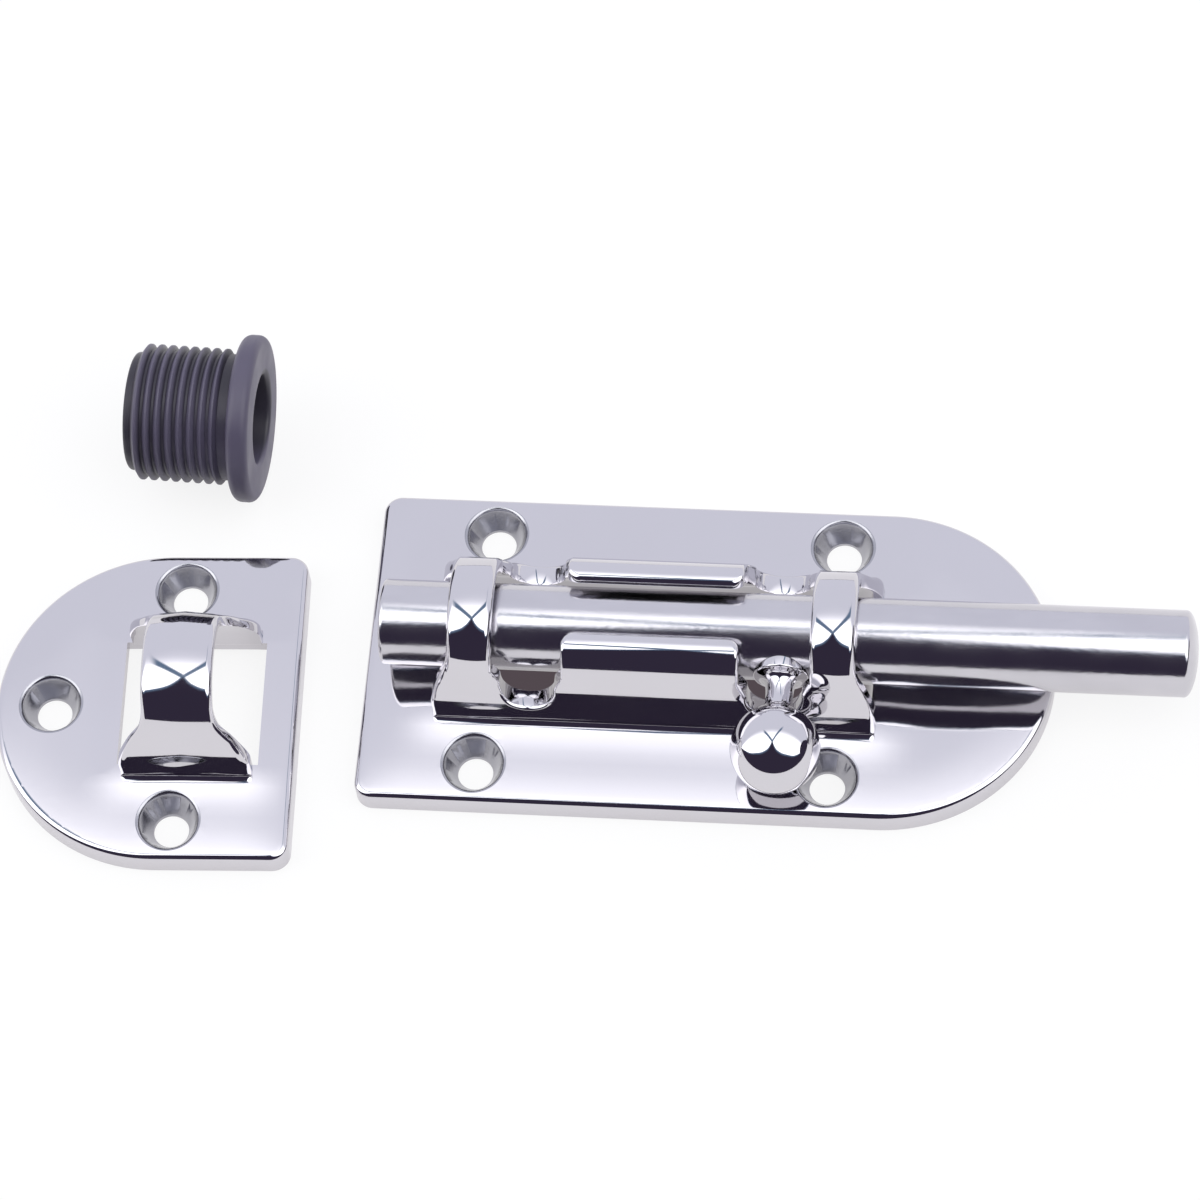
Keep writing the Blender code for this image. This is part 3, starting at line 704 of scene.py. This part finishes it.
bolt = turned("round_bolt", bolt_profile(), TURNED_POINTS)
put_in_place(bolt, Matrix.Translation((rod_low.x, ROD_Y, AXIS_HEIGHT))
             @ Matrix.Rotation(math.pi / 2, 4, "Y"))
smooth_by_angle(bolt, SHARP_ANGLE)
knob = turned("ball_knob", knob_outline(), TURNED_POINTS)
put_in_place(knob, Matrix.Translation((KNOB_X, ROD_Y, AXIS_HEIGHT))
             @ Matrix.Rotation(math.pi / 2, 4, "X"))
clear_selection()
bpy.ops.mesh.primitive_cylinder_add(vertices=TURNED_POINTS, radius=BOLT_RADIUS + COLLAR_GAP,
                                    depth=10 * MM, location=(KNOB_X, ROD_Y, AXIS_HEIGHT),
                                    rotation=(0.0, math.pi / 2, 0.0))
cut_with(knob, bpy.context.object, "DIFFERENCE")
smooth_by_angle(knob, SHARP_ANGLE)
print("bolt:", triangles(bolt), "knob:", triangles(knob), "triangles")

# %% [markdown]
# ## The guide bush
# The bush is moulded in dark plastic. Ribs grip the drilled hole, and a round flange covers the
# hole's edge. It is one profile spun round.

# %% Turn the bush
BUSH_BORE = 5.0 * MM
FLANGE_RADIUS = 9.4 * MM
RIB_RADIUS, RIB_DEPTH, RIB_PITCH, RIB_COUNT = 7.65 * MM, 0.55 * MM, 1.25 * MM, 8
BUSH_LENGTH = 14.6 * MM
BUSH_END = 0.9 * MM
FLANGE_THICKNESS, FLANGE_EDGE = 2.5 * MM, 0.9 * MM
BUSH_POINTS = 128
BUSH_PLACE = Vector((plate_low.x - 28.5 * MM, ROD_Y + 24.8 * MM, FLANGE_RADIUS))
BUSH_TURN = math.radians(-2.0)


def bush_outline():
    """From the flange's face down the outside, then back up the bore."""
    top, under, root = BUSH_LENGTH, BUSH_LENGTH - FLANGE_THICKNESS, RIB_RADIUS - RIB_DEPTH
    rim = FLANGE_RADIUS - FLANGE_EDGE
    flank = (RIB_PITCH - 0.25 * MM) / 2
    points = arc((BUSH_BORE + 0.5 * MM, top - 0.5 * MM), 0.5 * MM, 180, 90, 5)
    points += arc((rim, top - FLANGE_EDGE), FLANGE_EDGE, 90, 0, 8)
    points += arc((rim, under + FLANGE_EDGE), FLANGE_EDGE, 0, -90, 8)
    points += [(root, under)]
    for rib in range(RIB_COUNT - 1, -1, -1):
        middle = BUSH_END + RIB_PITCH * (rib + 0.5)
        points += [(root, middle + flank), (RIB_RADIUS - 0.08 * MM, middle + 0.165 * MM),
                   (RIB_RADIUS, middle + 0.1 * MM), (RIB_RADIUS, middle - 0.1 * MM),
                   (RIB_RADIUS - 0.08 * MM, middle - 0.165 * MM), (root, middle - flank)]
    points += [(6.65 * MM, BUSH_END)] + arc((6.25 * MM, 0.4 * MM), 0.4 * MM, 0, -90, 4)
    return points + arc((BUSH_BORE + 0.25 * MM, 0.25 * MM), 0.25 * MM, 270, 180, 3)


bush = turned("ribbed_bush", bush_outline(), BUSH_POINTS)
put_in_place(bush, Matrix.Translation(BUSH_PLACE) @ Matrix.Rotation(BUSH_TURN, 4, "Z")
             @ Matrix.Rotation(math.pi / 2, 4, "Y"))
smooth_by_angle(bush, 30)
print("bush:", triangles(bush), "triangles")

# %% [markdown]
# ## Surface marks, shared by the finishes
# Every finish here needs the same two things: fine marks that the light catches, and broad, soft
# patches where the surface is a little duller. They are one node group, built once and placed in
# each material with its own scale. It puts out two values and no shader.

# %% Build the marks group
PATCH_SCALE = 0.12
marks = bpy.data.node_groups.new("surface_marks", "ShaderNodeTree")
for socket, kind, way in (("Place", "NodeSocketVector", "INPUT"),
                          ("Scale", "NodeSocketFloat", "INPUT"),
                          ("Fine", "NodeSocketFloat", "OUTPUT"),
                          ("Patches", "NodeSocketFloat", "OUTPUT")):
    marks.interface.new_socket(name=socket, in_out=way, socket_type=kind)
group_in = marks.nodes.new("NodeGroupInput")
group_out = marks.nodes.new("NodeGroupOutput")
fine = marks.nodes.new("ShaderNodeTexNoise")
fine.inputs["Detail"].default_value = 4.0
marks.links.new(group_in.outputs["Place"], fine.inputs["Vector"])
marks.links.new(group_in.outputs["Scale"], fine.inputs["Scale"])
wider = marks.nodes.new("ShaderNodeMath")
wider.operation = "MULTIPLY"
wider.inputs[1].default_value = PATCH_SCALE
marks.links.new(group_in.outputs["Scale"], wider.inputs[0])
patches = marks.nodes.new("ShaderNodeTexNoise")
patches.inputs["Detail"].default_value = 2.0
marks.links.new(group_in.outputs["Place"], patches.inputs["Vector"])
marks.links.new(wider.outputs[0], patches.inputs["Scale"])
marks.links.new(fine.outputs["Fac"], group_out.inputs["Fine"])
marks.links.new(patches.outputs["Fac"], group_out.inputs["Patches"])
print("marks group has", len(marks.nodes), "nodes")

# %% [markdown]
# ## Finishes
# Bright chrome is a mirror that gives back about two thirds of the light, so its look comes mostly
# from what stands around it. The bolt is only satin: fine marks run along it and break up the edge
# of each reflection. The bush is a dark, slightly violet plastic that is dull where it left the
# mould and brighter where it rubs.


# %% Make the finishes
def new_finish(name, colour, roughness, metallic):
    """A material with plain values on its shader, ready for its own texture nodes."""
    finish = bpy.data.materials.new(name)
    finish.use_nodes = True
    shader = finish.node_tree.nodes["Principled BSDF"]
    shader.inputs["Base Color"].default_value = (*colour, 1.0)
    shader.inputs["Roughness"].default_value = roughness
    shader.inputs["Metallic"].default_value = metallic
    return finish


def mark_surface(finish, stretch, scale, depth, roughness, colours):
    """Marks on a finish: their stretch and scale, bump depth, roughness range and two colours."""
    nodes, links = finish.node_tree.nodes, finish.node_tree.links
    shader = nodes["Principled BSDF"]
    place = nodes.new("ShaderNodeTexCoord")
    mapping = nodes.new("ShaderNodeMapping")
    mapping.inputs["Scale"].default_value = stretch
    links.new(place.outputs["Object"], mapping.inputs["Vector"])
    group = nodes.new("ShaderNodeGroup")
    group.node_tree = marks
    group.inputs["Scale"].default_value = scale
    links.new(mapping.outputs[0], group.inputs["Place"])
    bump = nodes.new("ShaderNodeBump")
    bump.inputs["Strength"].default_value = 1.0
    bump.inputs["Distance"].default_value = depth
    links.new(group.outputs["Fine"], bump.inputs["Height"])
    links.new(bump.outputs[0], shader.inputs["Normal"])
    dull = nodes.new("ShaderNodeMapRange")
    dull.inputs["From Min"].default_value = 0.3
    dull.inputs["From Max"].default_value = 0.7
    dull.inputs["To Min"].default_value = roughness[0]
    dull.inputs["To Max"].default_value = roughness[1]
    links.new(group.outputs["Patches"], dull.inputs["Value"])
    links.new(dull.outputs[0], shader.inputs["Roughness"])
    tint = nodes.new("ShaderNodeMix")
    tint.data_type = "RGBA"
    tint.inputs[6].default_value = (*colours[0], 1.0)
    tint.inputs[7].default_value = (*colours[1], 1.0)
    links.new(group.outputs["Patches"], tint.inputs["Factor"])
    links.new(tint.outputs[2], shader.inputs["Base Color"])


def wear_finish(piece, finish):
    piece.data.materials.clear()
    piece.data.materials.append(finish)


chrome = new_finish("mirror_chrome", (0.66, 0.65, 0.67), 0.05, 1.0)
mark_surface(chrome, (1.0, 1.0, 1.0), 900.0, 0.0006 * MM, (0.03, 0.07),
             ((0.67, 0.66, 0.69), (0.65, 0.635, 0.66)))
satin = new_finish("satin_bolt", (0.62, 0.61, 0.63), 0.14, 1.0)
mark_surface(satin, (0.45, 1.0, 1.0), 2600.0, 0.009 * MM, (0.12, 0.20),
             ((0.66, 0.65, 0.68), (0.56, 0.55, 0.58)))
plastic = new_finish("dark_bush_plastic", (0.085, 0.075, 0.115), 0.42, 0.0)
mark_surface(plastic, (1.0, 1.0, 1.0), 1500.0, 0.01 * MM, (0.36, 0.52),
             ((0.075, 0.066, 0.105), (0.10, 0.09, 0.135)))
# The dishes get a darker, duller chrome: partly a duller plating in the countersinks, partly painted
# shade in these recesses.
dish_chrome_and_painted_shade = new_finish("dish_chrome_and_painted_shade", (0.44, 0.44, 0.47), 0.2, 1.0)
mark_surface(dish_chrome_and_painted_shade, (1.0, 1.0, 1.0), 2200.0, 0.006 * MM, (0.12, 0.26),
             ((0.50, 0.50, 0.53), (0.34, 0.34, 0.37)))
for plate, place, screws in ((bolt_plate, bolt_plate_place, bolt_screws),
                             (keeper, keeper_place, keeper_screws)):
    wear_finish(plate, chrome)
    plate.data.materials.append(dish_chrome_and_painted_shade)
    for face in plate.data.polygons:
        if any((face.center - place @ Vector((*screw, 0.0))).xy.length < SCREW_HEAD_RADIUS
               for screw in screws):
            face.material_index = 1
wear_finish(knob, chrome)
wear_finish(bolt, satin)
wear_finish(bush, plastic)
print(len(bpy.data.materials), "materials")

# %% [markdown]
# ## A helper for larger node trees
# The next finishes are worked out by arithmetic, from where a point lies or which way a ray goes.
# A small class adds the nodes and joins them, so that each line reads like a sum.


# %% A painter for node trees
WHITE = (1.0, 1.0, 1.0, 1.0)


class Painter:
    """Short ways to add and join nodes of one tree."""

    def __init__(self, tree):
        self.nodes, self.links = tree.nodes, tree.links

    def math(self, operation, *values):
        node = self.nodes.new("ShaderNodeMath")
        node.operation = operation
        for socket, value in zip(node.inputs, values):
            self.feed(value, socket)
        return node.outputs[0]

    def feed(self, value, socket):
        if isinstance(value, bpy.types.NodeSocket):
            self.links.new(value, socket)
        else:
            socket.default_value = value

    def step(self, value, start, end):
        """0 below start, 1 above end, and smooth between them."""
        node = self.nodes.new("ShaderNodeMapRange")
        node.interpolation_type = "SMOOTHSTEP"
        self.feed(value, node.inputs["Value"])
        self.feed(start, node.inputs["From Min"])
        self.feed(end, node.inputs["From Max"])
        return node.outputs[0]

    def mix(self, share, first, second):
        node = self.nodes.new("ShaderNodeMix")
        node.data_type = "RGBA"
        self.feed(share, node.inputs["Factor"])
        self.feed(first, node.inputs[6])
        self.feed(second, node.inputs[7])
        return node.outputs[2]


print("painter ready")

# %% [markdown]
# ## Dark grooves on the bush
# Little light gets down between the ribs or into the bore. Both lie closer to the bush's axis than
# the rib tops, and the flange's face is left out by its place along the axis.

# %% Darken the grooves
GROOVE_DARK = 0.30
FLANGE_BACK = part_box("guide_bush")[1].x - FLANGE_THICKNESS
inside = Painter(plastic.node_tree)
place = inside.nodes.new("ShaderNodeTexCoord")
apart = inside.nodes.new("ShaderNodeVectorMath")
apart.operation = "SUBTRACT"
apart.inputs[1].default_value = (0.0, BUSH_PLACE.y, BUSH_PLACE.z)
inside.links.new(place.outputs["Object"], apart.inputs[0])
parts = inside.nodes.new("ShaderNodeSeparateXYZ")
inside.links.new(apart.outputs[0], parts.inputs[0])
from_axis = inside.math("SQRT", inside.math("ADD", inside.math("POWER", parts.outputs["Y"], 2.0),
                                            inside.math("POWER", parts.outputs["Z"], 2.0)))
groove = inside.math("MULTIPLY", inside.step(from_axis, RIB_RADIUS - 0.05 * MM, RIB_RADIUS - RIB_DEPTH),
                     inside.step(parts.outputs["X"], FLANGE_BACK + 0.2 * MM, FLANGE_BACK - 0.1 * MM))
bore = inside.step(from_axis, BUSH_BORE + 0.4 * MM, BUSH_BORE)
shaded = inside.math("MAXIMUM", groove, bore)
shader = inside.nodes["Principled BSDF"]
tint = shader.inputs["Base Color"].links[0].from_socket
darker = inside.nodes.new("ShaderNodeMix")
darker.data_type = "RGBA"
darker.blend_type = "MULTIPLY"
darker.inputs["Factor"].default_value = 1.0
inside.links.new(tint, darker.inputs[6])
kept = inside.mix(shaded, WHITE, (GROOVE_DARK, GROOVE_DARK, GROOVE_DARK, 1.0))
inside.links.new(kept, darker.inputs[7])
inside.links.new(darker.outputs[2], shader.inputs["Base Color"])
print("the grooves keep", GROOVE_DARK, "of the colour")

# %% [markdown]
# ## The studio
# A mirror shows the whole room. The photographed bolt shows a white table below, bright soft boxes
# overhead, a pale wall behind and a dark room in front, with the dark shape of the camera stand
# reaching up between the soft boxes. The world is painted that way by direction, which needs no
# lamps at all. The camera itself sees plain white.

# %% Paint the room
STAND_PLACE = -0.06
DARK_ROOM = (0.040, 0.032, 0.058, 1.0)
BLUE_EDGE = (0.16, 0.24, 0.36, 1.0)
SOFT_BOX = (2.3, 2.3, 2.35, 1.0)
PALE_WALL = (0.86, 0.87, 0.98, 1.0)
DARK_EDGE = ((0.0, 0.87), (0.05, 0.80), (0.15, 0.67), (0.32, 0.58), (0.60, 0.50), (1.0, 0.46))
DARK_EDGE_SCALE = 100.0
WALL_START, WALL_FULL = 94.0, 119.0
ARMS_MEET = 84.0
ARM_SLOPES = ((-1.0, 78.0), (1.0, 110.0))
ARM_HALF_WIDTH, ARM_SOFTNESS = 2.5, 3.5
ARM_FADE, ARM_END = 0.30, 0.40
world = bpy.data.worlds.new("studio")
bpy.context.scene.world = world
world.use_nodes = True
room = Painter(world.node_tree)
direction = room.nodes.new("ShaderNodeTexCoord")
split = room.nodes.new("ShaderNodeSeparateXYZ")
room.links.new(direction.outputs["Generated"], split.inputs[0])
forward = room.math("MULTIPLY", split.outputs["Y"], -1.0)
height = room.math("DEGREES", room.math("ARCTAN2", split.outputs["Z"], forward))
off_stand = room.math("SUBTRACT", split.outputs["X"], STAND_PLACE)
aside = room.math("ABSOLUTE", off_stand)
edge_of_dark = room.nodes.new("ShaderNodeFloatCurve")
curve = edge_of_dark.mapping.curves[0]
for place, value in DARK_EDGE:
    if place in (0.0, 1.0):
        curve.points[int(place)].location = (place, value)
    else:
        curve.points.new(place, value)
edge_of_dark.mapping.update()
room.links.new(aside, edge_of_dark.inputs["Value"])
edge = room.math("MULTIPLY", edge_of_dark.outputs[0], DARK_EDGE_SCALE)
over_edge = room.math("SUBTRACT", height, edge)
lit = room.step(over_edge, -0.5, 1.5)
blue = room.step(over_edge, -7.0, 0.0)
past_boxes = room.step(height, WALL_START, WALL_FULL)
front = room.mix(blue, DARK_ROOM, BLUE_EDGE)
boxes = room.mix(past_boxes, SOFT_BOX, PALE_WALL)
for side, rise in ARM_SLOPES:
    reach = room.math("MULTIPLY", off_stand, side)
    line = room.math("ADD", room.math("MULTIPLY", reach, rise), ARMS_MEET)
    off_line = room.math("ABSOLUTE", room.math("SUBTRACT", height, line))
    within = room.math("MULTIPLY", room.step(reach, -0.02, 0.02), room.step(reach, ARM_END, ARM_FADE))
    on_line = room.step(off_line, ARM_HALF_WIDTH + ARM_SOFTNESS, ARM_HALF_WIDTH)
    bar = room.math("MULTIPLY", within, on_line)
    boxes = room.mix(bar, boxes, BLUE_EDGE)
room_colour = room.mix(lit, front, boxes)
seen = room.nodes.new("ShaderNodeLightPath")
shown = room.mix(seen.outputs["Is Camera Ray"], room_colour, WHITE)
room.links.new(shown, room.nodes["Background"].inputs["Color"])
print("the room has", len(room.nodes), "nodes")

# %% [markdown]
# ## The table
# The floor is plain and pale. The camera sees it nearly white, with a little of each piece's
# shadow, and mirrors see it white too. Hardly any light gets in under the housing, so the table is
# painted dark there, by its place.

# %% Lay the table
HOUSING_SHADE = (0.10, 0.078, 0.09, 1.0)
SHADE_ALONG, SHADE_ACROSS = (25.2 * MM, 22.0 * MM), (6.9 * MM, 4.5 * MM)
TABLE_GREY = 0.9
MIRRORED_GLOW, CAMERA_GLOW = 0.6, 0.85
clear_selection()
bpy.ops.mesh.primitive_plane_add(size=3.0, location=(0.0, 0.0, -0.05 * MM))
table = bpy.context.object
table.name = "white_table"
table_finish = new_finish("white_table", (TABLE_GREY, TABLE_GREY, TABLE_GREY), 0.8, 0.0)
table.data.materials.append(table_finish)
top = Painter(table_finish.node_tree)
rays = top.nodes.new("ShaderNodeLightPath")
glow = top.nodes.new("ShaderNodeEmission")
glow.inputs["Color"].default_value = (0.95, 0.93, 0.94, 1.0)
camera_glow = top.nodes.new("ShaderNodeEmission")
spot = top.nodes.new("ShaderNodeTexCoord")
spot_parts = top.nodes.new("ShaderNodeSeparateXYZ")
top.links.new(spot.outputs["Object"], spot_parts.inputs[0])
shade_along = top.math("ABSOLUTE", top.math("SUBTRACT", spot_parts.outputs["X"], HOUSING_X))
shade_across = top.math("ABSOLUTE", top.math("SUBTRACT", spot_parts.outputs["Y"], ROD_Y))
under = top.math("MULTIPLY", top.step(shade_along, *SHADE_ALONG),
                 top.step(shade_across, *SHADE_ACROSS))
top.links.new(top.mix(under, WHITE, HOUSING_SHADE), camera_glow.inputs["Color"])
mirrored = top.math("MAXIMUM", rays.outputs["Is Glossy Ray"], rays.outputs["Is Transmission Ray"])
in_mirror = top.nodes.new("ShaderNodeMixShader")
top.links.new(top.math("MULTIPLY", mirrored, MIRRORED_GLOW), in_mirror.inputs[0])
top.links.new(top.nodes["Principled BSDF"].outputs[0], in_mirror.inputs[1])
top.links.new(glow.outputs[0], in_mirror.inputs[2])
to_camera = top.nodes.new("ShaderNodeMixShader")
shown_glow = top.math("MULTIPLY", rays.outputs["Is Camera Ray"], CAMERA_GLOW)
top.links.new(shown_glow, to_camera.inputs[0])
top.links.new(in_mirror.outputs[0], to_camera.inputs[1])
top.links.new(camera_glow.outputs[0], to_camera.inputs[2])
top.links.new(to_camera.outputs[0], top.nodes["Material Output"].inputs["Surface"])
lit_share = top.math("SUBTRACT", 1.0, under)
top.links.new(top.math("MULTIPLY", lit_share, TABLE_GREY),
              top.nodes["Principled BSDF"].inputs["Base Color"])
print("the table is", round(table.dimensions.x, 1), "m across")

# %% [markdown]
# ## Hang the pieces on the frame
# Each piece rides on the body of the solid that it stands for, so the bolt can be slid and turned.

# %% Ride and finish
for piece, body, node in ((bolt_plate, "base", "base_plate"), (keeper, "base", "keeper_plate"),
                          (bush, "base", "guide_bush"), (bolt, "bolt", "bolt_rod"),
                          (knob, "handle", "knob")):
    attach(piece, body)
    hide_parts(node)
